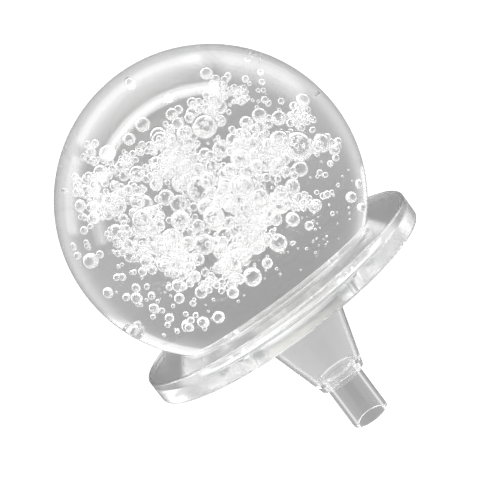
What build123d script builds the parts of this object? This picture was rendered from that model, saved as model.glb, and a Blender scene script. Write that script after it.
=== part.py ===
"""Carbon dioxide diffuser with a clear bubble globe, for an aquarium.

Gas comes up the hose spigot, fills the funnel, is broken into fine bubbles by a porous disc and
rises into a water-filled globe, where the bubbles stay until they dissolve. Water passes in and
out of the globe through a ring of ports in the flange. The globe pulls off the flange's hub, so
that the porous disc can be cleaned.

The frame is in millimetres, +Z up. The origin is the centre of the spigot's open end, where the
gas hose pushes on, and +Z runs up the common axis of every part to the top of the globe.
"""
from build123d import *
from math import hypot, sqrt
import os

# ---- driving dimensions, in millimetres -----------------------------------------------------
SPIGOT_R = 3.0  # outside radius, for a soft 4/6 mm gas hose
SPIGOT_BORE_R = 2.25
SPIGOT_REACH = 7.3  # length that stands out below the funnel

FUNNEL_TIP_R = 3.7
FUNNEL_TOP_R = 7.8
FUNNEL_LENGTH = 14.1
FUNNEL_WALL = 0.8
FUNNEL_FLOOR = 1.7

FLANGE_R = 22.9
FLANGE_T = 3.7

GLOBE_R = 22.5
GLOBE_WALL = 1.6
GLOBE_CENTRE_RISE = 15.0  # from the flange's top face up to the globe's centre

POROUS_R = 7.0
POROUS_T = 1.8
GASKET_T = 0.5

PORT_COUNT = 4
PORT_R = 1.0
PORT_CIRCLE_R = 10.4
PORT_START = 45.0  # degrees from +X to the first port

# ---- fits and small features ----------------------------------------------------------------
EDGE_R = 0.35  # rounding on moulded outer edges
SMALL_EDGE_R = 0.2  # rounding and lead-in on the smaller edges

PLUG_R = 2.75  # the spigot's stepped-down end, bonded into the funnel's tip
PLUG_LENGTH = 1.1
BOND_GAP = 0.03  # radial and end gap that the cement fills

FUNNEL_NECK_R = 7.1  # the funnel's neck, bonded up into the flange
FUNNEL_NECK_RISE = 0.9
NECK_POCKET_R = FUNNEL_NECK_R + BOND_GAP
LEDGE_R = 6.1  # the neck's bore, small enough to leave a ledge for the gasket
LEDGE_DEPTH = 0.9  # height over which the cavity narrows to the neck's bore

NECK_R = 16.6  # globe's neck, outside
NECK_BORE_R = 14.8
NECK_GROOVE_R = 16.9  # outer wall of the groove that takes the neck
NECK_GROOVE_FLOOR = 1.2  # flange material left under the groove
SEAT_GAP = 0.1  # between the neck's lip and the groove's floor

HUB_R = 14.4  # the hub that enters the globe's neck
HUB_RISE = 1.5  # above the flange's top face
OUTLET_R = 6.0  # hole over the porous disc
OUTLET_FLARE = 0.7

SEAL_CORD_R = 0.7
SEAL_GAP = 0.02  # radial, seal against the neck's bore that slides over it
SEAL_GROOVE_HALF = 0.8
SEAL_DROP = 1.1  # seal's middle below the flange's top face

# ---- levels up the axis ---------------------------------------------------------------------
TIP_Z = SPIGOT_REACH
CAVITY_FLOOR_Z = TIP_Z + FUNNEL_FLOOR
FLANGE_BOTTOM_Z = TIP_Z + FUNNEL_LENGTH
FLANGE_TOP_Z = FLANGE_BOTTOM_Z + FLANGE_T
FUNNEL_NECK_TOP_Z = FLANGE_BOTTOM_Z + FUNNEL_NECK_RISE
POROUS_BOTTOM_Z = FUNNEL_NECK_TOP_Z + GASKET_T
POROUS_TOP_Z = POROUS_BOTTOM_Z + POROUS_T
GROOVE_FLOOR_Z = FLANGE_BOTTOM_Z + NECK_GROOVE_FLOOR
HUB_TOP_Z = FLANGE_TOP_Z + HUB_RISE
GLOBE_CENTRE_Z = FLANGE_TOP_Z + GLOBE_CENTRE_RISE
SEAL_Z = FLANGE_TOP_Z - SEAL_DROP

# ---- radii that follow from the ones above ----------------------------------------------------
CONE_SPREAD = (FUNNEL_TOP_R - FUNNEL_TIP_R) / FUNNEL_LENGTH  # radius gained per unit of height
WALL_LEVEL = FUNNEL_WALL * hypot(1, CONE_SPREAD)  # the funnel's wall, measured level
CAVITY_FLOOR_R = FUNNEL_TIP_R - WALL_LEVEL + FUNNEL_FLOOR * CONE_SPREAD
CAVITY_TOP_R = FUNNEL_TOP_R - WALL_LEVEL - LEDGE_DEPTH * CONE_SPREAD
SEAL_MIDDLE_R = NECK_BORE_R - SEAL_GAP - SEAL_CORD_R
SEAL_GROOVE_R = SEAL_MIDDLE_R - SEAL_CORD_R


def turned(*points):
    """A solid turned about the Z axis from a closed outline of (radius, height) points."""
    with BuildPart() as solid:
        with BuildSketch(Plane.XZ):
            with BuildLine():
                Polyline(*points, close=True)
            make_face()
        revolve(axis=Axis.Z)
    return solid.part


def edges_at(solid, radius, height, reach=0.02):
    """The full-circle edges of a turned solid that have this radius and lie at this height."""
    return [
        edge
        for edge in solid.edges().filter_by(GeomType.CIRCLE)
        if abs(edge.radius - radius) < reach and abs(edge.center().Z - height) < reach
    ]


def hose_spigot():
    """The hose tube: a plain thin tube, its stepped upper end bonded into the funnel's tip."""
    top_z = TIP_Z + PLUG_LENGTH
    tube = turned(
        (SPIGOT_BORE_R, 0),
        (SPIGOT_R, 0),
        (SPIGOT_R, TIP_Z),
        (PLUG_R, TIP_Z),
        (PLUG_R, top_z),
        (SPIGOT_BORE_R, top_z),
    )
    return fillet(edges_at(tube, SPIGOT_R, 0), SMALL_EDGE_R)


def funnel():
    """The thin-walled funnel: thick floor with the spigot's socket, cone and short neck."""
    socket_r = PLUG_R + BOND_GAP
    socket_end_z = TIP_Z + PLUG_LENGTH + BOND_GAP
    body = turned(
        (socket_r, TIP_Z),
        (FUNNEL_TIP_R, TIP_Z),
        (FUNNEL_TOP_R, FLANGE_BOTTOM_Z),
        (FUNNEL_NECK_R, FLANGE_BOTTOM_Z),
        (FUNNEL_NECK_R, FUNNEL_NECK_TOP_Z),
        (LEDGE_R, FUNNEL_NECK_TOP_Z),
        (LEDGE_R, FLANGE_BOTTOM_Z),
        (CAVITY_TOP_R, FLANGE_BOTTOM_Z - LEDGE_DEPTH),
        (CAVITY_FLOOR_R, CAVITY_FLOOR_Z),
        (SPIGOT_BORE_R, CAVITY_FLOOR_Z),
        (SPIGOT_BORE_R, socket_end_z),
        (socket_r, socket_end_z),
    )
    return fillet(edges_at(body, FUNNEL_TIP_R, TIP_Z), SMALL_EDGE_R)


def disc_gasket():
    """The flat washer that seals the porous disc to the funnel's neck."""
    return turned(
        (LEDGE_R, FUNNEL_NECK_TOP_Z),
        (POROUS_R, FUNNEL_NECK_TOP_Z),
        (POROUS_R, POROUS_BOTTOM_Z),
        (LEDGE_R, POROUS_BOTTOM_Z),
    )


def porous_disc():
    """The sintered disc that breaks the gas into fine bubbles."""
    disc = turned(
        (0, POROUS_BOTTOM_Z),
        (POROUS_R, POROUS_BOTTOM_Z),
        (POROUS_R, POROUS_TOP_Z),
        (0, POROUS_TOP_Z),
    )
    return fillet(edges_at(disc, POROUS_R, POROUS_TOP_Z), SMALL_EDGE_R)


def flange():
    """The round base: a rim, a groove for the globe's neck, and a hub with ports and a pocket."""
    seal_low = SEAL_Z - SEAL_GROOVE_HALF
    seal_high = SEAL_Z + SEAL_GROOVE_HALF
    body = turned(
        (NECK_POCKET_R, FLANGE_BOTTOM_Z),
        (FLANGE_R, FLANGE_BOTTOM_Z),
        (FLANGE_R, FLANGE_TOP_Z),
        (NECK_GROOVE_R, FLANGE_TOP_Z),
        (NECK_GROOVE_R, GROOVE_FLOOR_Z),
        (HUB_R, GROOVE_FLOOR_Z),
        (HUB_R, seal_low),
        (SEAL_GROOVE_R, seal_low),
        (SEAL_GROOVE_R, seal_high),
        (HUB_R, seal_high),
        (HUB_R, HUB_TOP_Z),
        (OUTLET_R, HUB_TOP_Z),
        (OUTLET_R, POROUS_TOP_Z),
        (NECK_POCKET_R, POROUS_TOP_Z),
    )
    rim = edges_at(body, FLANGE_R, FLANGE_BOTTOM_Z) + edges_at(body, FLANGE_R, FLANGE_TOP_Z)
    body = fillet(rim, EDGE_R)
    body = chamfer(edges_at(body, HUB_R, HUB_TOP_Z), EDGE_R)
    body = chamfer(edges_at(body, OUTLET_R, HUB_TOP_Z), OUTLET_FLARE)
    middle_z = (HUB_TOP_Z + FLANGE_BOTTOM_Z) / 2
    drill_length = 2 * (HUB_TOP_Z - FLANGE_BOTTOM_Z)
    ports = [
        place * Cylinder(PORT_R, drill_length)
        for place in Pos(0, 0, middle_z) * PolarLocations(PORT_CIRCLE_R, PORT_COUNT, PORT_START)
    ]
    return body - ports


def globe_seal():
    """The round-section seal ring between the flange's hub and the bore of the globe's neck."""
    return Pos(0, 0, SEAL_Z) * Torus(SEAL_MIDDLE_R, SEAL_CORD_R)


def globe():
    """The hollow clear globe, with a short neck that drops into the flange's groove."""
    bore_sphere_r = GLOBE_R - GLOBE_WALL
    neck_low = GROOVE_FLOOR_Z + SEAT_GAP
    neck_meets_z = GLOBE_CENTRE_Z - sqrt(GLOBE_R**2 - NECK_R**2)
    bore_meets_z = GLOBE_CENTRE_Z - sqrt(bore_sphere_r**2 - NECK_BORE_R**2)
    outer_top_z = GLOBE_CENTRE_Z + GLOBE_R
    inner_top_z = GLOBE_CENTRE_Z + bore_sphere_r
    with BuildPart() as solid:
        with BuildSketch(Plane.XZ):
            with BuildLine():
                Polyline(
                    (NECK_BORE_R, bore_meets_z),
                    (NECK_BORE_R, neck_low),
                    (NECK_R, neck_low),
                    (NECK_R, neck_meets_z),
                )
                ThreePointArc((NECK_R, neck_meets_z), (GLOBE_R, GLOBE_CENTRE_Z), (0, outer_top_z))
                Line((0, outer_top_z), (0, inner_top_z))
                ThreePointArc(
                    (0, inner_top_z),
                    (bore_sphere_r, GLOBE_CENTRE_Z),
                    (NECK_BORE_R, bore_meets_z),
                )
            make_face()
        revolve(axis=Axis.Z)
    lip = edges_at(solid.part, NECK_BORE_R, neck_low) + edges_at(solid.part, NECK_R, neck_low)
    return chamfer(lip, SMALL_EDGE_R)


PARTS = {
    "hose_spigot": hose_spigot,
    "funnel": funnel,
    "disc_gasket": disc_gasket,
    "porous_disc": porous_disc,
    "flange": flange,
    "globe_seal": globe_seal,
    "globe": globe,
}

os.makedirs("parts", exist_ok=True)
for node, build in PARTS.items():
    export_step(build(), f"parts/{node}.step")
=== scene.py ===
"""Looks of a clear aquarium gas diffuser: bubble globe, flange, funnel and hose spigot.

Lengths are in metres in the part's own frame, +Z up the common axis, with the origin at the
centre of the spigot's open end. Sizes given in millimetres go through mm().
"""

import logging
import math
import random
from dataclasses import dataclass, field
from enum import Enum
from typing import Sequence

import bmesh
import bpy
import numpy as np
from mathutils import Matrix, Vector


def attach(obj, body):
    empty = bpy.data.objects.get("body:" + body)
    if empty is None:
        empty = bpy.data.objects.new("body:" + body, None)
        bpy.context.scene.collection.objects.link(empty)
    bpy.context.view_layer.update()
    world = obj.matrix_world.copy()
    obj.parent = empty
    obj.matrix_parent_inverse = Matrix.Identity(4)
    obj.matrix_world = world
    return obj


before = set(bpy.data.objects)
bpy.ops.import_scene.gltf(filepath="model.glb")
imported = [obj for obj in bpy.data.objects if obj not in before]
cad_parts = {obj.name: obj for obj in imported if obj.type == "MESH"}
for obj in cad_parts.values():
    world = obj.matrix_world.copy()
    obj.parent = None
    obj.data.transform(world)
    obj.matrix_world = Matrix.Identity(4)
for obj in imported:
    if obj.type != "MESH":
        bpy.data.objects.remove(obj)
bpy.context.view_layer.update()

LOG = logging.getLogger("diffuser")

WHITE = "FFFFFF"
MOST_SURFACES = 14.0  # clear surfaces that light crosses before it goes straight on
CRAZED_ROUGHNESS = 0.6  # of acrylic that solvent fumes have crazed
CRAZED_CLEARNESS = 0.05  # share of light that still passes clean through it
LARGE_BUBBLE_MM = 0.6  # radius above which a bubble's outline needs the finest ball
SMALL_BUBBLE_MM = 0.18  # radius up to which the coarsest ball does
LEAST_GAP = 0.96  # distance kept to the next bubble, in radii, so that two look joined
STUCK_REACH = 0.985  # distance between two stuck bubbles, in radii of both together

# The way a viewer looks at the globe's front, and that view's own up and right.
FRONT = Vector((0.0, 0.98869, -0.15))
FRONT_UP = Vector((0.0, 0.15, 0.98869))
FRONT_RIGHT = Vector((1.0, 0.0, 0.0))

# Clumps of bubbles as they show from the front: mm right of and above the globe's middle, and
# the radius in mm that the clump shows.
CLUMPS_SHOWN = (
    (-10.1, 12.9, 1.6), (-7.4, 13.6, 1.3), (-6.2, 12.2, 1.0), (-3.8, 13.0, 1.1),
    (-0.6, 10.9, 1.7), (5.5, 11.7, 1.6), (5.4, 8.3, 1.9), (8.7, 10.6, 1.4), (11.5, 8.9, 1.1),
    (-12.5, 9.9, 1.4), (-10.1, 10.2, 1.3), (-10.8, 7.2, 1.7), (-7.9, 5.7, 1.7),
    (-5.9, 8.9, 1.4), (-3.4, 8.3, 1.3), (-0.1, 8.3, 1.6), (-3.5, 6.6, 1.4), (-1.1, 6.0, 1.7),
    (2.1, 7.7, 1.1), (3.4, 6.3, 1.1), (-13.1, 4.6, 1.3), (-11.7, 2.6, 2.0), (-8.9, 3.2, 2.0),
    (-4.8, 4.3, 1.4), (-0.2, 2.3, 2.7), (2.5, 3.7, 1.3), (3.7, 2.3, 1.1), (5.5, 4.6, 1.4),
    (9.0, 4.3, 1.7), (11.8, 4.3, 1.4), (6.7, 1.7, 2.0), (9.4, -0.6, 1.7), (4.7, -1.4, 2.4),
    (0.4, -2.0, 2.3), (-4.8, 0.0, 1.7), (-4.5, -4.3, 2.3), (-7.4, -1.4, 2.0),
    (-8.5, -4.3, 1.6), (-12.2, -1.4, 1.4), (-10.2, -0.3, 1.6), (14.0, -1.4, 3.0),
    (12.7, 1.1, 1.3), (16.4, -2.6, 1.3), (19.0, -4.3, 1.1), (17.6, 2.3, 1.3),
    (-0.5, -6.6, 2.0), (2.1, -7.7, 1.9), (4.7, -6.0, 1.7), (7.5, -5.9, 2.4),
    (10.7, -5.7, 1.0), (8.1, -8.9, 1.2), (10.1, -8.0, 1.0), (-8.2, -6.9, 1.2),
    (-4.5, -8.3, 1.3), (-3.9, -10.0, 1.2),
)  # fmt: skip

# Single bubbles, in the same way.
SINGLES_SHOWN = (
    (-1.2, 13.9, 1.1), (3.7, 14.3, 0.7), (4.0, 13.2, 0.7), (2.8, 12.2, 0.9), (10.1, 14.8, 0.9),
    (-14.8, 10.3, 0.9), (-14.0, 7.4, 0.9), (14.6, 3.7, 1.1), (14.0, 6.3, 0.6),
    (11.5, -9.3, 0.9), (-10.4, -6.9, 1.0), (-15.0, -7.3, 0.8), (-14.5, -9.6, 0.7),
    (-12.2, -8.3, 0.8), (-12.8, -12.3, 0.7), (-10.9, -12.9, 0.9), (-9.1, -13.8, 0.9),
    (-12.1, -14.0, 0.4), (-3.4, -11.3, 0.8), (-5.2, -12.2, 0.9), (-1.8, -12.3, 1.4),
    (1.1, -11.7, 0.8), (4.2, -10.5, 1.4), (1.7, -9.5, 0.7), (8.8, -11.0, 0.7),
    (13.3, -9.0, 0.6), (-10.5, -10.0, 0.5), (-19.1, 4.0, 1.1), (-18.8, 6.3, 0.6),
    (-17.5, 6.1, 0.4), (-16.8, 7.7, 0.6), (-16.7, 3.3, 0.6), (-19.4, -1.4, 0.8),
    (-15.8, -1.3, 0.6), (-15.2, -3.6, 0.7), (-16.2, -4.7, 0.9), (-16.6, -8.0, 0.4),
    (15.0, 8.0, 0.4), (16.0, 5.2, 0.5), (14.8, -5.9, 0.5), (16.6, -5.7, 0.5),
    (18.1, -10.3, 0.7), (16.8, -11.3, 0.8), (17.0, -13.2, 0.6), (15.6, 12.6, 0.5),
    (11.7, 12.6, 0.6), (16.8, 13.3, 0.5), (0.8, 21.2, 0.7),
)  # fmt: skip


def mm(value: float) -> float:
    """Millimetres to metres."""
    return value / 1000.0


def linear(hex_colour: str) -> tuple[float, float, float, float]:
    """Turns an sRGB hex colour into linear RGBA.

    Args:
        hex_colour: six hex digits, such as "E8E8E6".

    Returns:
        The linear red, green and blue, and an alpha of 1.
    """
    channels = [int(hex_colour[i : i + 2], 16) / 255.0 for i in (0, 2, 4)]
    toned = [c / 12.92 if c <= 0.04045 else ((c + 0.055) / 1.055) ** 2.4 for c in channels]
    return (toned[0], toned[1], toned[2], 1.0)


def add_node(tree: bpy.types.NodeTree, kind: str, settings: dict, links: dict) -> bpy.types.Node:
    """Adds one shader node with its settings and its links.

    Args:
        tree: the node tree that gets the node.
        kind: the node's type name, such as "ShaderNodeBump".
        settings: attribute, or input name or number, to value; an input wins if both exist.
        links: this node's input name or number to the output socket that feeds it.

    Returns:
        The new node.
    """
    node = tree.nodes.new(kind)
    for name, value in settings.items():
        if isinstance(name, int) or name in node.inputs:
            node.inputs[name].default_value = value
        else:
            setattr(node, name, value)
    for name, source in links.items():
        tree.links.new(source, node.inputs[name])
    return node


def new_material(name: str) -> tuple[bpy.types.Material, bpy.types.NodeTree]:
    """Makes an empty node material.

    Args:
        name: the material's name.

    Returns:
        The material and its node tree, with no nodes in it.
    """
    material = bpy.data.materials.new(name)
    material.use_nodes = True
    material.node_tree.nodes.clear()
    return material, material.node_tree


def finish_surface(tree: bpy.types.NodeTree, shader: bpy.types.Node) -> None:
    """Wires a shader to the tree's output.

    Args:
        tree: the material's node tree.
        shader: the node whose first output is the surface.
    """
    output = add_node(tree, "ShaderNodeOutputMaterial", {}, {})
    tree.links.new(shader.outputs[0], output.inputs["Surface"])


def ease_light(tree: bpy.types.NodeTree, shader: bpy.types.Node) -> bpy.types.Node:
    """Lets lamp light through a clear shader, and light that has already crossed many surfaces.

    Without it, light caught between many clear walls is given up as black.

    Args:
        tree: the material's node tree.
        shader: the clear shader.

    Returns:
        The node that mixes the two.
    """
    path = add_node(tree, "ShaderNodeLightPath", {}, {})
    deep = add_node(
        tree,
        "ShaderNodeMath",
        {"operation": "GREATER_THAN", 1: MOST_SURFACES},
        {0: path.outputs["Ray Depth"]},
    )
    either = add_node(
        tree,
        "ShaderNodeMath",
        {"operation": "MAXIMUM"},
        {0: path.outputs["Is Shadow Ray"], 1: deep.outputs[0]},
    )
    through = add_node(tree, "ShaderNodeBsdfTransparent", {}, {})
    return add_node(
        tree,
        "ShaderNodeMixShader",
        {},
        {0: either.outputs[0], 1: shader.outputs[0], 2: through.outputs[0]},
    )


@dataclass(frozen=True)
class ClearAcrylic:
    """Clear acrylic (PMMA), cast, turned, moulded or extruded, as each finish's name says.

    The eye sees a colourless body with bright edges, and shallow waves that the mould or the
    polishing left in the surface. A cemented wall also goes from clear to crazed between the two
    heights in frost_mm.
    """

    name: str
    ior: float = 1.49
    roughness: float = 0.01
    uneven_gloss: float = 0.5
    clearness: float = 1.0
    wave_mm: float = 6.0
    wave_height_mm: float = 0.004
    wave_detail: float = 1.5
    wave_roughness: float = 0.4
    frost_mm: tuple[float, float] | None = None

    def build(self) -> bpy.types.Material:
        """Makes the material.

        Returns:
            The acrylic, with shallow waves, and with uneven gloss or a crazed end.
        """
        material, tree = new_material(self.name)
        where = add_node(tree, "ShaderNodeTexCoord", {}, {})
        waves = add_node(
            tree,
            "ShaderNodeTexNoise",
            {
                "Scale": 1.0 / mm(self.wave_mm),
                "Detail": self.wave_detail,
                "Roughness": self.wave_roughness,
            },
            {"Vector": where.outputs["Object"]},
        )
        bump = add_node(
            tree,
            "ShaderNodeBump",
            {"Strength": 1.0, "Distance": mm(self.wave_height_mm)},
            {"Height": waves.outputs[0]},
        )
        shader = add_node(
            tree,
            "ShaderNodeBsdfPrincipled",
            {
                "Base Color": linear(WHITE),
                "IOR": self.ior,
                "Transmission Weight": self.clearness,
            },
            {"Normal": bump.outputs[0]},
        )
        if self.frost_mm:
            self.frost(tree, where, shader)
        else:
            self.vary_gloss(tree, waves, shader)
        finish_surface(tree, ease_light(tree, shader))
        return material

    def vary_gloss(
        self, tree: bpy.types.NodeTree, waves: bpy.types.Node, shader: bpy.types.Node
    ) -> None:
        """Makes the gloss follow the waves.

        Args:
            tree: the material's node tree.
            waves: the waves' pattern.
            shader: the acrylic's own shader.
        """
        gloss = add_node(
            tree,
            "ShaderNodeMapRange",
            {
                "To Min": self.roughness * (1.0 - self.uneven_gloss),
                "To Max": self.roughness * (1.0 + self.uneven_gloss),
            },
            {"Value": waves.outputs[0]},
        )
        tree.links.new(gloss.outputs[0], shader.inputs["Roughness"])

    def frost(
        self, tree: bpy.types.NodeTree, where: bpy.types.Node, shader: bpy.types.Node
    ) -> None:
        """Dulls the wall toward a cemented end, where solvent fumes have crazed the surface.

        Args:
            tree: the material's node tree.
            where: the texture coordinates.
            shader: the acrylic's own shader, which gets rougher and cloudier.
        """
        split = add_node(tree, "ShaderNodeSeparateXYZ", {}, {"Vector": where.outputs["Object"]})
        for name, plain, crazed in (
            ("Roughness", self.roughness, CRAZED_ROUGHNESS),
            ("Transmission Weight", self.clearness, CRAZED_CLEARNESS),
        ):
            dulled = add_node(
                tree,
                "ShaderNodeMapRange",
                {
                    "interpolation_type": "SMOOTHSTEP",
                    "From Min": mm(self.frost_mm[0]),
                    "From Max": mm(self.frost_mm[1]),
                    "To Min": plain,
                    "To Max": crazed,
                },
                {"Value": split.outputs["Z"]},
            )
            tree.links.new(dulled.outputs[0], shader.inputs[name])


@dataclass(frozen=True)
class StillWater:
    """The water that fills the globe: colourless and perfectly smooth against the wall."""

    name: str
    ior: float = 1.333

    def build(self) -> bpy.types.Material:
        """Makes the material.

        Returns:
            Clear water.
        """
        material, tree = new_material(self.name)
        shader = add_node(
            tree,
            "ShaderNodeBsdfPrincipled",
            {
                "Base Color": linear(WHITE),
                "IOR": self.ior,
                "Roughness": 0.0,
                "Transmission Weight": 1.0,
            },
            {},
        )
        finish_surface(tree, ease_light(tree, shader))
        return material


@dataclass(frozen=True)
class GasBubble:
    """Gas in water: a mirror-bright rim, where light can't leave the water, round a clear middle.

    clearness leaves a trace of milkiness, which stands in for froth too fine to model.
    """

    name: str
    water_ior: float = 1.333
    clearness: float = 0.987

    def build(self) -> bpy.types.Material:
        """Makes the material.

        Returns:
            A clear surface that bends light the other way from glass, as gas in water does.
        """
        material, tree = new_material(self.name)
        shader = add_node(
            tree,
            "ShaderNodeBsdfPrincipled",
            {
                "Base Color": linear(WHITE),
                "IOR": 1.0 / self.water_ior,
                "Roughness": 0.0,
                "Transmission Weight": self.clearness,
            },
            {},
        )
        finish_surface(tree, ease_light(tree, shader))
        return material


@dataclass(frozen=True)
class MouldedSilicone:
    """Translucent natural silicone rubber, moulded: a soft milky white with a satin skin."""

    name: str
    colour: str = "E4E6E6"
    mottle: str = "D8DBDB"
    mottle_mm: float = 2.0
    mottle_detail: float = 3.0
    ior: float = 1.41
    roughness: float = 0.35
    clearness: float = 0.5

    def build(self) -> bpy.types.Material:
        """Makes the material.

        Returns:
            Milky silicone with a faint mottle.
        """
        material, tree = new_material(self.name)
        where = add_node(tree, "ShaderNodeTexCoord", {}, {})
        noise = add_node(
            tree,
            "ShaderNodeTexNoise",
            {"Scale": 1.0 / mm(self.mottle_mm), "Detail": self.mottle_detail},
            {"Vector": where.outputs["Object"]},
        )
        ramp = add_node(tree, "ShaderNodeValToRGB", {}, {"Fac": noise.outputs[0]})
        ramp.color_ramp.elements[0].color = linear(self.mottle)
        ramp.color_ramp.elements[1].color = linear(self.colour)
        shader = add_node(
            tree,
            "ShaderNodeBsdfPrincipled",
            {
                "IOR": self.ior,
                "Roughness": self.roughness,
                "Transmission Weight": self.clearness,
            },
            {"Base Color": ramp.outputs[0]},
        )
        finish_surface(tree, shader)
        return material


@dataclass(frozen=True)
class SinteredCeramic:
    """White sintered ceramic, pressed from fine grains: dead matt, with open pores that carry
    painted shade.

    The real grain is about 0.05 mm, too fine to show, so it is drawn at 0.3 mm.
    """

    name: str
    grain: str = "FAFAF7"
    # painted shade: the darker colour given to the recessed pores
    pore_shade: str = "DCDAD4"
    grain_mm: float = 0.3
    pore_depth_mm: float = 0.05
    pore_strength: float = 0.6
    ior: float = 1.6
    roughness: float = 0.9

    def build(self) -> bpy.types.Material:
        """Makes the material.

        Returns:
            A matt white surface of grains, with painted shade darkening the pores between them.
        """
        material, tree = new_material(self.name)
        where = add_node(tree, "ShaderNodeTexCoord", {}, {})
        grains = add_node(
            tree,
            "ShaderNodeTexVoronoi",
            {"Scale": 1.0 / mm(self.grain_mm)},
            {"Vector": where.outputs["Object"]},
        )
        ramp = add_node(tree, "ShaderNodeValToRGB", {}, {"Fac": grains.outputs["Distance"]})
        ramp.color_ramp.elements[0].color = linear(self.grain)
        # The pore end of the ramp is painted shade, darkest where the bump sinks the pores.
        ramp.color_ramp.elements[1].color = linear(self.pore_shade)
        bump = add_node(
            tree,
            "ShaderNodeBump",
            {
                "Strength": self.pore_strength,
                "Distance": mm(self.pore_depth_mm),
                "invert": True,
            },
            {"Height": grains.outputs["Distance"]},
        )
        shader = add_node(
            tree,
            "ShaderNodeBsdfPrincipled",
            {"IOR": self.ior, "Roughness": self.roughness},
            {"Base Color": ramp.outputs[0], "Normal": bump.outputs[0]},
        )
        finish_surface(tree, shader)
        return material


def mesh_object(
    name: str, verts: np.ndarray, faces: Sequence[Sequence[int]], material: bpy.types.Material
) -> bpy.types.Object:
    """Makes a smooth-shaded mesh object in the part's frame.

    Args:
        name: the piece's name.
        verts: one row of x, y, z per vertex, in metres.
        faces: vertex indices of each face.
        material: the piece's material.

    Returns:
        The linked object.
    """
    mesh = bpy.data.meshes.new(name)
    mesh.from_pydata([tuple(v) for v in verts], [], [tuple(f) for f in faces])
    mesh.polygons.foreach_set("use_smooth", [True] * len(mesh.polygons))
    mesh.materials.append(material)
    mesh.update()
    obj = bpy.data.objects.new(name, mesh)
    bpy.context.scene.collection.objects.link(obj)
    return obj


def lathe(profile: Sequence[tuple[float, float]], steps: int) -> tuple[np.ndarray, list]:
    """Turns an outline, which starts and ends on the axis, into a closed mesh about Z.

    Args:
        profile: (radius, height) points from the bottom of the axis to its top, in metres.
        steps: number of steps round the axis.

    Returns:
        The vertices, and the faces with outward normals.
    """
    bottom, *rings, top = profile
    verts = [(0.0, 0.0, bottom[1])]
    for radius, height in rings:
        for k in range(steps):
            turn = 2 * math.pi * k / steps
            verts.append((radius * math.cos(turn), radius * math.sin(turn), height))
    verts.append((0.0, 0.0, top[1]))
    faces = []
    last = len(verts) - 1
    for k in range(steps):
        after = (k + 1) % steps
        faces.append((0, 1 + after, 1 + k))
        for ring in range(len(rings) - 1):
            low = 1 + ring * steps
            high = low + steps
            faces.append((low + k, low + after, high + after, high + k))
        ring_start = 1 + (len(rings) - 1) * steps
        faces.append((ring_start + k, ring_start + after, last))
    return np.array(verts), faces


def ball_template(subdivisions: int) -> tuple[np.ndarray, np.ndarray]:
    """Builds a unit ball once, for copying.

    Args:
        subdivisions: how many times the twenty-sided ball is split.

    Returns:
        The vertices and the triangles, as arrays.
    """
    work = bmesh.new()
    bmesh.ops.create_icosphere(work, subdivisions=subdivisions, radius=1.0)
    work.verts.ensure_lookup_table()
    verts = np.array([v.co[:] for v in work.verts])
    faces = np.array([[v.index for v in f.verts] for f in work.faces])
    work.free()
    return verts, faces


@dataclass
class Bubble:
    """One gas bubble: its centre and radius in metres."""

    centre: Vector
    radius: float


class BubbleDetail(Enum):
    """How often a bubble's twenty-sided ball is split."""

    SPECK = 2
    SMALL = 3
    LARGE = 4

    @classmethod
    def suited(cls, radius: float) -> "BubbleDetail":
        """Picks the detail that a bubble needs to look round.

        Args:
            radius: the bubble's radius, in metres.

        Returns:
            The detail.
        """
        if radius > mm(LARGE_BUBBLE_MM):
            return cls.LARGE
        return cls.SMALL if radius > mm(SMALL_BUBBLE_MM) else cls.SPECK


@dataclass(frozen=True)
class GrowthRound:
    """One round of a clump's growth: tries, and its bubbles' radii as shares of the clump's."""

    tries: int
    least: float
    most: float


@dataclass(frozen=True)
class ClumpGrowth:
    """How a clump grows. Every size is a share of the clump's own radius."""

    core: tuple[float, float] = (0.6, 0.95)
    nudge: float = 0.15
    shrink: float = 0.97
    reach: float = 1.75
    rounds: tuple[GrowthRound, ...] = (
        GrowthRound(40, 0.42, 0.66),
        GrowthRound(40, 0.26, 0.40),
        GrowthRound(8, 0.13, 0.22),
    )


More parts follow.
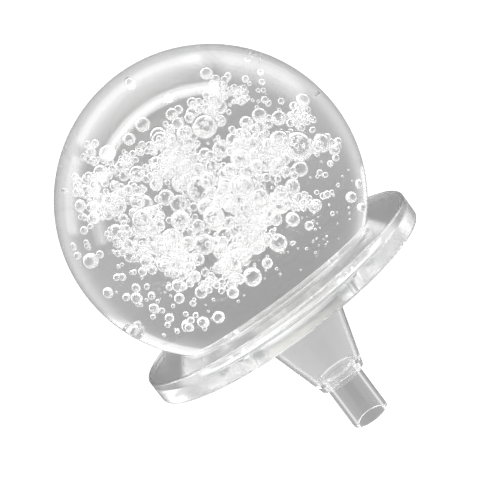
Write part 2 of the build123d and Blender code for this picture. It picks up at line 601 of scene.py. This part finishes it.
class Crowd:
    """Every bubble placed so far, so that a new one can touch but not cut into them."""

    def __init__(self, globe: "GlobeAssembly") -> None:
        """Starts an empty crowd in a globe's water.

        Args:
            globe: the globe whose water holds the bubbles.
        """
        self.globe = globe
        self.growth = ClumpGrowth()
        self.centres = np.empty((0, 3))
        self.radii = np.empty(0)

    def fits(self, bubble: Bubble) -> bool:
        """Whether a bubble lies in the water and no more than touches the others.

        Args:
            bubble: the bubble to test.

        Returns:
            True if it is in the water and cuts no bubble by over a twenty-fifth of its radius.
        """
        if not self.globe.inside(bubble):
            return False
        gaps = np.linalg.norm(self.centres - np.array(bubble.centre[:]), axis=1) - self.radii
        return not len(gaps) or float(gaps.min()) > LEAST_GAP * bubble.radius

    def add(self, bubble: Bubble) -> Bubble | None:
        """Adds a bubble if it fits.

        Args:
            bubble: the bubble to add.

        Returns:
            The bubble, or None if it was left out.
        """
        if not self.fits(bubble):
            return None
        self.centres = np.vstack([self.centres, bubble.centre[:]])
        self.radii = np.append(self.radii, bubble.radius)
        return bubble

    def grow(self, dice: random.Random, clump: Bubble) -> list[Bubble]:
        """Grows a clump: a large bubble, with smaller ones stuck to it and to each other.

        Args:
            dice: the seeded random numbers.
            clump: the middle and the radius of the whole clump.

        Returns:
            The clump's bubbles, the large one first.
        """
        rule = self.growth
        core = Bubble(clump.centre, clump.radius * dice.uniform(*rule.core))
        while not self.fits(core):
            nudge = Vector([dice.gauss(0, 1) for _ in range(3)]) * clump.radius * rule.nudge
            core = Bubble(core.centre + nudge, core.radius * rule.shrink)
        made = [self.add(core)]
        for step in rule.rounds:
            for _ in range(step.tries):
                host = dice.choice(made)
                away = Vector([dice.gauss(0, 1) for _ in range(3)]).normalized()
                radius = clump.radius * dice.uniform(step.least, step.most)
                spot = host.centre + away * (host.radius + radius) * STUCK_REACH
                if (spot - clump.centre).length + radius > clump.radius * rule.reach:
                    continue
                bubble = self.add(Bubble(spot, radius))
                if bubble:
                    made.append(bubble)
        return made


@dataclass
class GlobeAssembly:
    """The pull-off globe: its clear shell, the water in it and the gas bubbles in the water.

    depths and shown_limit are in the globe's own radius, and depth counts away from the viewer.
    stray_reach_mm is how far strays lie from the centre along X, Y and Z. The specks' places are
    in the hollow's radius: the two ends, then the likeliest value where there is a third.
    """

    radius_mm: float = 22.5
    wall_mm: float = 1.6
    centre_mm: float = 40.1
    neck_bore_mm: float = 14.8
    hub_top_mm: float = 26.6
    hub_radius_mm: float = 14.4
    hub_edge_mm: float = 0.35
    seal_top_mm: float = 24.7
    outlet_mm: float = 6.0
    outlet_flare_mm: float = 0.7
    porous_top_mm: float = 24.6
    overlap_mm: float = 0.03
    water_steps_round: int = 192
    water_steps_up: int = 96
    clearance_mm: float = 0.2
    shown_limit: float = 0.97
    depths: tuple[float, float] = (-0.42, 0.08)
    behind_mm: float = 4.0
    beside_mm: float = 1.3
    behind_share: float = 0.9
    strays: int = 260
    stray_reach_mm: tuple[float, float, float] = (14.0, 12.0, 9.0)
    stray_radius_mm: tuple[float, float] = (0.18, 0.45)
    specks: int = 170
    speck_across: tuple[float, float, float] = (-0.8, 0.8, 0.35)
    speck_deep: tuple[float, float] = (-0.8, 0.5)
    speck_high: tuple[float, float, float] = (-0.62, 0.5, -0.45)
    speck_radius_mm: tuple[float, float] = (0.09, 0.2)
    seed: int = 7
    # Cast and polished: clear, with waves just deep enough to bend reflections.
    shell_finish: ClearAcrylic = field(
        default_factory=lambda: ClearAcrylic(
            "cast_acrylic_globe", wave_mm=3.0, wave_height_mm=0.006
        )
    )
    water_finish: StillWater = field(default_factory=lambda: StillWater("still_water"))
    bubble_finish: GasBubble = field(default_factory=lambda: GasBubble("gas_bubbles_in_water"))

    @property
    def centre(self) -> Vector:
        """The globe's centre, in metres."""
        return Vector((0.0, 0.0, mm(self.centre_mm)))

    @property
    def inner_radius(self) -> float:
        """The radius of the globe's hollow, in metres."""
        return mm(self.radius_mm - self.wall_mm)

    def build(self) -> list[bpy.types.Object]:
        """Dresses the shell and makes the water and the bubbles.

        Returns:
            Every new piece of the globe.
        """
        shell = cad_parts["globe"]
        shell.data.materials.clear()
        shell.data.materials.append(self.shell_finish.build())
        pieces = [self.water()]
        pieces += self.bubbles()
        for piece in pieces:
            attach(piece, "globe")
        return pieces

    def water(self) -> bpy.types.Object:
        """Makes the body of water, a hair larger than the hollow so that no air film shows.

        Returns:
            The water, closed all round.
        """
        over = mm(self.overlap_mm)
        radius = self.inner_radius + over
        bore = mm(self.neck_bore_mm) + over
        hub = mm(self.hub_top_mm) - over
        low = mm(self.porous_top_mm) + over
        outlet = mm(self.outlet_mm) + over
        flare = mm(self.outlet_flare_mm)
        hub_side = mm(self.hub_radius_mm) - over
        edge = mm(self.hub_edge_mm)
        seal_top = mm(self.seal_top_mm) + over
        profile = [
            (0.0, low),
            (outlet, low),
            (outlet, hub - flare),
            (outlet + flare, hub),
            (hub_side - edge, hub),
            (hub_side, hub - edge),
            (hub_side, seal_top),
            (bore, seal_top),
        ]
        start = -math.acos(bore / radius)
        for k in range(self.water_steps_up):
            turn = start + (math.pi / 2 - start) * k / self.water_steps_up
            height = mm(self.centre_mm) + radius * math.sin(turn)
            profile.append((radius * math.cos(turn), height))
        profile.append((0.0, mm(self.centre_mm) + radius))
        verts, faces = lathe(profile, self.water_steps_round)
        return mesh_object("globe_water", verts, faces, self.water_finish.build())

    def bubbles(self) -> list[bpy.types.Object]:
        """Makes the bubbles: clumps in the middle, singles round them and fine specks.

        Returns:
            The clumps in three layers by height, the singles and the specks.
        """
        dice = random.Random(self.seed)
        material = self.bubble_finish.build()
        crowd = Crowd(self)
        singles = [crowd.add(self.place_shown(dice, *shown)) for shown in SINGLES_SHOWN]
        cores = [self.place_shown(dice, *shown) for shown in CLUMPS_SHOWN]
        behind = [self.place_behind(dice, *shown) for shown in CLUMPS_SHOWN]
        clumps = [crowd.grow(dice, core) for core in cores + behind]
        fillers = [crowd.add(self.stray(dice)) for _ in range(self.strays)]
        specks = [crowd.add(self.speck(dice)) for _ in range(self.specks)]
        ordered = sorted(clumps, key=lambda clump: clump[0].centre.z)
        third = len(ordered) // 3
        layers = (ordered[:third], ordered[third : 2 * third], ordered[2 * third :])
        pieces = [
            self.piece(f"bubble_clumps_{place}", sum(layer, []), material)
            for place, layer in zip(("low", "middle", "high"), layers)
        ]
        loose = [bubble for bubble in singles + fillers if bubble]
        pieces.append(self.piece("single_bubbles", loose, material))
        pieces.append(self.piece("bubble_specks", [speck for speck in specks if speck], material))
        return pieces

    def inside(self, bubble: Bubble) -> bool:
        """Whether a bubble lies wholly in the water.

        Args:
            bubble: the bubble to test.

        Returns:
            True if it keeps its clearance to the wall and to the top of the hub.
        """
        clear = mm(self.clearance_mm)
        from_centre = (bubble.centre - self.centre).length + bubble.radius
        above_hub = bubble.centre.z - bubble.radius > mm(self.hub_top_mm) + clear
        return from_centre < self.inner_radius - clear and above_hub

    def place_shown(
        self, dice: random.Random, right_mm: float, up_mm: float, radius_mm: float
    ) -> Bubble:
        """Finds where a bubble lies that shows at a given place from the front.

        The globe bends the view inward, so what shows far out lies nearer the middle.

        Args:
            dice: the seeded random numbers, which choose the depth.
            right_mm: how far right of the globe's middle it shows.
            up_mm: how far above the middle it shows.
            radius_mm: the radius it shows.

        Returns:
            The bubble.
        """
        outer = mm(self.radius_mm)
        aside = FRONT_RIGHT * mm(right_mm) + FRONT_UP * mm(up_mm)
        offset = min(aside.length, self.shown_limit * outer)
        sideways = aside.normalized()
        meets = math.asin(offset / outer)
        bends = meets - math.asin(offset / outer / self.water_finish.ior)
        entry = sideways * offset - FRONT * math.sqrt(outer**2 - offset**2)
        heading = FRONT * math.cos(bends) - sideways * math.sin(bends)
        half_chord = outer * math.cos(meets - bends)
        depth = dice.uniform(*self.depths)
        shrink = 1.0 / self.water_finish.ior
        shrink += (1.0 - shrink) * max(0.0, -depth)
        spot = self.centre + entry + heading * (half_chord + depth * outer)
        return Bubble(spot, mm(radius_mm) * shrink)

    def place_behind(
        self, dice: random.Random, right_mm: float, up_mm: float, radius_mm: float
    ) -> Bubble:
        """Finds where a second clump lies, behind and beside one that shows, to fill the gaps.

        Args:
            dice: the seeded random numbers.
            right_mm: how far right of the globe's middle the first one shows.
            up_mm: how far above the middle it shows.
            radius_mm: the radius it shows.

        Returns:
            The second clump.
        """
        bubble = self.place_shown(dice, right_mm, up_mm, radius_mm)
        aside = FRONT_RIGHT * dice.gauss(0, 1) + FRONT_UP * dice.gauss(0, 1)
        spot = bubble.centre + FRONT * mm(self.behind_mm) + aside * mm(self.beside_mm)
        return Bubble(spot, bubble.radius * self.behind_share)

    def stray(self, dice: random.Random) -> Bubble:
        """Finds a place for a small loose bubble in or near the cloud.

        Args:
            dice: the seeded random numbers.

        Returns:
            The bubble.
        """
        away = Vector([dice.uniform(-1, 1) for _ in range(3)])
        reach = Vector([mm(value) for value in self.stray_reach_mm])
        spot = self.centre + Vector([a * r for a, r in zip(away, reach)])
        return Bubble(spot, mm(dice.uniform(*self.stray_radius_mm)))

    def speck(self, dice: random.Random) -> Bubble:
        """Finds a place for a fine speck, most likely low in the globe and to the right.

        Args:
            dice: the seeded random numbers.

        Returns:
            The speck.
        """
        reach = self.inner_radius
        across = dice.triangular(*self.speck_across) * reach
        deep = dice.uniform(*self.speck_deep) * reach
        high = dice.triangular(*self.speck_high) * reach
        spot = self.centre + Vector((across, deep, high))
        return Bubble(spot, mm(dice.uniform(*self.speck_radius_mm)))

    def piece(
        self, name: str, bubbles: Sequence[Bubble], material: bpy.types.Material
    ) -> bpy.types.Object:
        """Joins bubbles into one mesh.

        Args:
            name: the piece's name.
            bubbles: the bubbles in it.
            material: the bubbles' material.

        Returns:
            The piece.
        """
        balls = {detail: ball_template(detail.value) for detail in BubbleDetail}
        verts, faces, count = [], [], 0
        for bubble in bubbles:
            ball, triangles = balls[BubbleDetail.suited(bubble.radius)]
            verts.append(ball * bubble.radius + np.array(bubble.centre[:]))
            faces.append(triangles + count)
            count += len(ball)
        return mesh_object(name, np.concatenate(verts), np.concatenate(faces), material)


@dataclass
class BaseAssembly:
    """The part the globe pulls off: flange, funnel, spigot, porous disc and seals."""

    # Turned and left unpolished, so what shows through it is a little blurred.
    flange_finish: ClearAcrylic = field(
        default_factory=lambda: ClearAcrylic("turned_acrylic_flange", roughness=0.12)
    )
    # Moulded thin: wavier, faintly cloudy, and crazed at the top where it is cemented.
    funnel_finish: ClearAcrylic = field(
        default_factory=lambda: ClearAcrylic(
            "moulded_acrylic_funnel",
            clearness=0.965,
            wave_mm=3.0,
            wave_height_mm=0.03,
            frost_mm=(19.4, 20.8),
        )
    )
    # Extruded: smooth and clear.
    tube_finish: ClearAcrylic = field(default_factory=lambda: ClearAcrylic("extruded_acrylic_tube"))
    seal_finish: MouldedSilicone = field(
        default_factory=lambda: MouldedSilicone("moulded_silicone")
    )
    disc_finish: SinteredCeramic = field(
        default_factory=lambda: SinteredCeramic("sintered_ceramic")
    )

    def build(self) -> list[bpy.types.Object]:
        """Dresses the carried-over nodes.

        Returns:
            The dressed nodes.
        """
        seal = self.seal_finish.build()
        finishes = {
            "flange": self.flange_finish.build(),
            "funnel": self.funnel_finish.build(),
            "hose_spigot": self.tube_finish.build(),
            "porous_disc": self.disc_finish.build(),
            "disc_gasket": seal,
            "globe_seal": seal,
        }
        for node, material in finishes.items():
            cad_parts[node].data.materials.clear()
            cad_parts[node].data.materials.append(material)
        return [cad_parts[node] for node in finishes]


@dataclass(frozen=True)
class Panel:
    """One soft panel of the light tent, which shows only in mirror reflections.

    ahead is how far it lies toward +Y, as the cosine of its angle from +Y, and edge is the width
    over which it fades that way. turn is its angle round the Y axis, from +X toward +Z, in
    degrees, and turn_edge is its fade that way. glow is added to the room's own brightness.
    """

    name: str
    ahead: tuple[float, float]
    turn: tuple[float, float]
    glow: float
    edge: float = 0.05
    turn_edge: float = 3.0


class Glow(Enum):
    """Brightness of the studio as linear light, where 1 renders as full white.

    PAPER is what the camera sees behind the part. The others are the room that clear surfaces
    pick up: low, level and high ahead of the camera, and all round.
    """

    PAPER = 1.25
    BELOW = 0.62
    LEVEL = 0.36
    ABOVE = 0.25
    ROUND = 0.82


TENT = (
    Panel("top_near", (0.01, 0.13), (50.0, 121.0), 7.5, edge=0.08),
    Panel("top_far", (0.57, 0.73), (55.0, 122.0), 1.3, edge=0.12),
    Panel("top_wash", (0.20, 0.60), (52.0, 122.0), 0.5, edge=0.10),
    Panel("left_near", (-0.02, 0.14), (127.0, 165.0), 2.4, edge=0.10),
    Panel("left_far", (0.45, 0.66), (127.0, 160.0), 1.6, edge=0.12),
    Panel("right_far", (0.30, 0.66), (8.0, 47.0), 1.5, edge=0.20, turn_edge=8.0),
    Panel("right_wash", (0.50, 0.79), (12.0, 62.0), 0.5, edge=0.03, turn_edge=10.0),
)


@dataclass
class Studio:
    """Pale floor, light tent, soft lamp and the camera.

    The two ends of a brightness fade belong to the unit vector of a direction: its height for the
    first two fades, and how far it points along Y for the third. The lamp's place and size and
    the camera's nearest distance are in metres. The camera's offset from the globe's centre is in
    the globe's radius.
    """

    floor_z_mm: float = -30.0
    floor_size_mm: float = 4000.0
    level_to_above: tuple[float, float] = (-0.10, 0.30)
    below_to_level: tuple[float, float] = (-0.62, -0.40)
    round_to_ahead: tuple[float, float] = (0.64, 0.86)
    lamp_size: float = 0.4
    lamp_watts: float = 5.0
    lamp_place: tuple[float, float, float] = (-0.3, -0.35, 0.5)
    field_of_view_deg: float = 25.97
    sensor_mm: float = 36.0
    nearest_seen: float = 0.01
    camera_offset: tuple[float, float, float] = (0.0131, -6.957, 0.655)
    camera_right: tuple[float, float, float] = (0.80117, -0.08977, -0.5917)
    most_bounces: int = 40
    most_mirror_bounces: int = 12
    most_straight_bounces: int = 96
    globe_radius_mm: float = GlobeAssembly.radius_mm
    globe_centre_mm: float = GlobeAssembly.centre_mm

    def build(self) -> None:
        """Sets up floor, surround, lights, camera and tone."""
        self.surround()
        self.floor()
        self.lamp()
        self.camera()
        self.tone()

    def paper(self, tree: bpy.types.NodeTree, room: bpy.types.NodeSocket) -> bpy.types.Node:
        """Mixes white paper, which the camera sees, with the dimmer room for all other rays.

        Args:
            tree: the world's node tree.
            room: the brightness of the room.

        Returns:
            The mixing shader node.
        """
        path = add_node(tree, "ShaderNodeLightPath", {}, {})
        white = add_node(
            tree,
            "ShaderNodeBackground",
            {"Color": linear(WHITE), "Strength": Glow.PAPER.value},
            {},
        )
        dim = add_node(
            tree, "ShaderNodeBackground", {"Color": linear(WHITE)}, {"Strength": room}
        )
        return add_node(
            tree,
            "ShaderNodeMixShader",
            {},
            {0: path.outputs["Is Camera Ray"], 1: dim.outputs[0], 2: white.outputs[0]},
        )

    def between(
        self,
        tree: bpy.types.NodeTree,
        value: bpy.types.NodeSocket,
        limits: tuple[float, float],
        edge: float,
    ) -> bpy.types.NodeSocket:
        """Makes a soft window: 1 between two limits, fading to 0 outside them.

        Args:
            tree: the node tree.
            value: the number to test.
            limits: the low and the high limit.
            edge: the width over which it fades.

        Returns:
            The window's output socket.
        """
        sides = []
        for limit, fades in ((limits[0], (0.0, 1.0)), (limits[1], (1.0, 0.0))):
            side = add_node(
                tree,
                "ShaderNodeMapRange",
                {
                    "interpolation_type": "SMOOTHSTEP",
                    "From Min": limit - edge / 2,
                    "From Max": limit + edge / 2,
                    "To Min": fades[0],
                    "To Max": fades[1],
                },
                {"Value": value},
            )
            sides.append(side.outputs[0])
        both = add_node(
            tree, "ShaderNodeMath", {"operation": "MULTIPLY"}, {0: sides[0], 1: sides[1]}
        )
        return both.outputs[0]

    def room(
        self,
        tree: bpy.types.NodeTree,
        high: bpy.types.NodeSocket,
        seen_ahead: bpy.types.NodeSocket,
    ) -> bpy.types.NodeSocket:
        """Makes the room's brightness: bright all round, and dimmer ahead the higher it is.

        Args:
            tree: the world's node tree.
            high: the height of the direction.
            seen_ahead: how far the direction points along the Y axis.

        Returns:
            The brightness's output socket.
        """
        links = {}
        for value, limits, start in (
            (high, self.level_to_above, Glow.LEVEL),
            (high, self.below_to_level, Glow.BELOW),
            (seen_ahead, self.round_to_ahead, Glow.ROUND),
        ):
            fade = add_node(
                tree,
                "ShaderNodeMapRange",
                {
                    "interpolation_type": "SMOOTHSTEP",
                    "From Min": limits[0],
                    "From Max": limits[1],
                    "To Min": start.value,
                    "To Max": Glow.ABOVE.value,
                },
                {"Value": value} | links,
            )
            links = {"To Max": fade.outputs[0]}
        return links["To Max"]

    def surround(self) -> None:
        """Makes the light tent: dim along the Y axis, bright all round, with brighter panels.

        Only what is seen through clear walls is dim behind the camera too.
        """
        world = bpy.data.worlds.new("studio")
        bpy.context.scene.world = world
        world.use_nodes = True
        tree = world.node_tree
        tree.nodes.clear()
        where = add_node(tree, "ShaderNodeTexCoord", {}, {})
        split = add_node(
            tree, "ShaderNodeSeparateXYZ", {}, {"Vector": where.outputs["Generated"]}
        )
        ahead = split.outputs["Y"]
        turn = add_node(
            tree,
            "ShaderNodeMath",
            {"operation": "ARCTAN2"},
            {0: split.outputs["Z"], 1: split.outputs["X"]},
        )
        degrees = add_node(
            tree, "ShaderNodeMath", {"operation": "DEGREES"}, {0: turn.outputs[0]}
        )
        path = add_node(tree, "ShaderNodeLightPath", {}, {})
        behind = add_node(tree, "ShaderNodeMath", {"operation": "ABSOLUTE"}, {0: ahead})
        seen_through = add_node(
            tree,
            "ShaderNodeMix",
            {},
            {
                "Factor": path.outputs["Is Transmission Ray"],
                "A": ahead,
                "B": behind.outputs[0],
            },
        )
        total = self.room(tree, split.outputs["Z"], seen_through.outputs["Result"])
        for panel in TENT:
            deep = self.between(tree, ahead, panel.ahead, panel.edge)
            wide = self.between(tree, degrees.outputs[0], panel.turn, panel.turn_edge)
            area = add_node(
                tree, "ShaderNodeMath", {"operation": "MULTIPLY"}, {0: deep, 1: wide}
            )
            mirrored = add_node(
                tree,
                "ShaderNodeMath",
                {"operation": "MULTIPLY"},
                {0: area.outputs[0], 1: path.outputs["Is Glossy Ray"]},
            )
            total = add_node(
                tree,
                "ShaderNodeMath",
                {"operation": "MULTIPLY_ADD", 1: panel.glow, "label": panel.name},
                {0: mirrored.outputs[0], 2: total},
            ).outputs[0]
        mix = self.paper(tree, total)
        output = add_node(tree, "ShaderNodeOutputWorld", {}, {})
        tree.links.new(mix.outputs[0], output.inputs["Surface"])

    def floor(self) -> None:
        """Lays the pale floor below the part, as white as the paper behind it.

        It glows evenly, and doesn't show in mirror reflections or through clear walls.
        """
        half = mm(self.floor_size_mm) / 2
        z = mm(self.floor_z_mm)
        corners = np.array([(-half, -half, z), (half, -half, z), (half, half, z), (-half, half, z)])
        material, tree = new_material("white_paper_floor")
        white = add_node(
            tree,
            "ShaderNodeEmission",
            {"Color": linear(WHITE), "Strength": Glow.PAPER.value},
            {},
        )
        finish_surface(tree, white)
        floor = mesh_object("floor", corners, [(0, 1, 2, 3)], material)
        floor.visible_glossy = False
        floor.visible_transmission = False

    def lamp(self) -> None:
        """Hangs one large soft lamp above, in front and to the left, seen by matt surfaces only."""
        light = bpy.data.lights.new("soft_lamp", "AREA")
        light.size = self.lamp_size
        light.energy = self.lamp_watts
        holder = bpy.data.objects.new("soft_lamp", light)
        holder.location = self.lamp_place
        aim = Vector((0.0, 0.0, mm(self.globe_centre_mm))) - holder.location
        holder.rotation_mode = "QUATERNION"
        holder.rotation_quaternion = aim.to_track_quat("-Z", "Y")
        holder.visible_camera = False
        holder.visible_glossy = False
        holder.visible_transmission = False
        bpy.context.scene.collection.objects.link(holder)

    def camera(self) -> None:
        """Sets the camera, close to level with the globe and rolled, so the part hangs aslant."""
        data = bpy.data.cameras.new("camera")
        data.sensor_width = self.sensor_mm
        data.lens = self.sensor_mm / 2 / math.tan(math.radians(self.field_of_view_deg) / 2)
        data.clip_start = self.nearest_seen
        holder = bpy.data.objects.new("camera", data)
        radius = mm(self.globe_radius_mm)
        offset = Vector(self.camera_offset) * radius
        holder.location = Vector((0.0, 0.0, mm(self.globe_centre_mm))) + offset
        right = Vector(self.camera_right)
        up = right.cross(FRONT).normalized()
        holder.rotation_mode = "QUATERNION"
        turn = Matrix((right, up, -FRONT)).transposed()
        holder.rotation_quaternion = turn.to_quaternion()
        bpy.context.scene.collection.objects.link(holder)
        bpy.context.scene.camera = holder

    def tone(self) -> None:
        """Keeps whites white and lets light cross many clear surfaces."""
        scene = bpy.context.scene
        scene.view_settings.view_transform = "Standard"
        scene.cycles.max_bounces = self.most_bounces
        scene.cycles.transmission_bounces = self.most_bounces
        scene.cycles.glossy_bounces = self.most_mirror_bounces
        scene.cycles.transparent_max_bounces = self.most_straight_bounces


def main() -> None:
    """Builds the part's looks and the studio, in order."""
    logging.basicConfig(level=logging.INFO, format="%(name)s: %(message)s")
    for assembly in (BaseAssembly(), GlobeAssembly()):
        for piece in assembly.build():
            faces = len(piece.data.polygons)
            LOG.info("%s: %s, %d faces", type(assembly).__name__, piece.name, faces)
    Studio().build()
    LOG.info("Studio: floor, lights and camera")


if __name__ == "__main__":
    main()
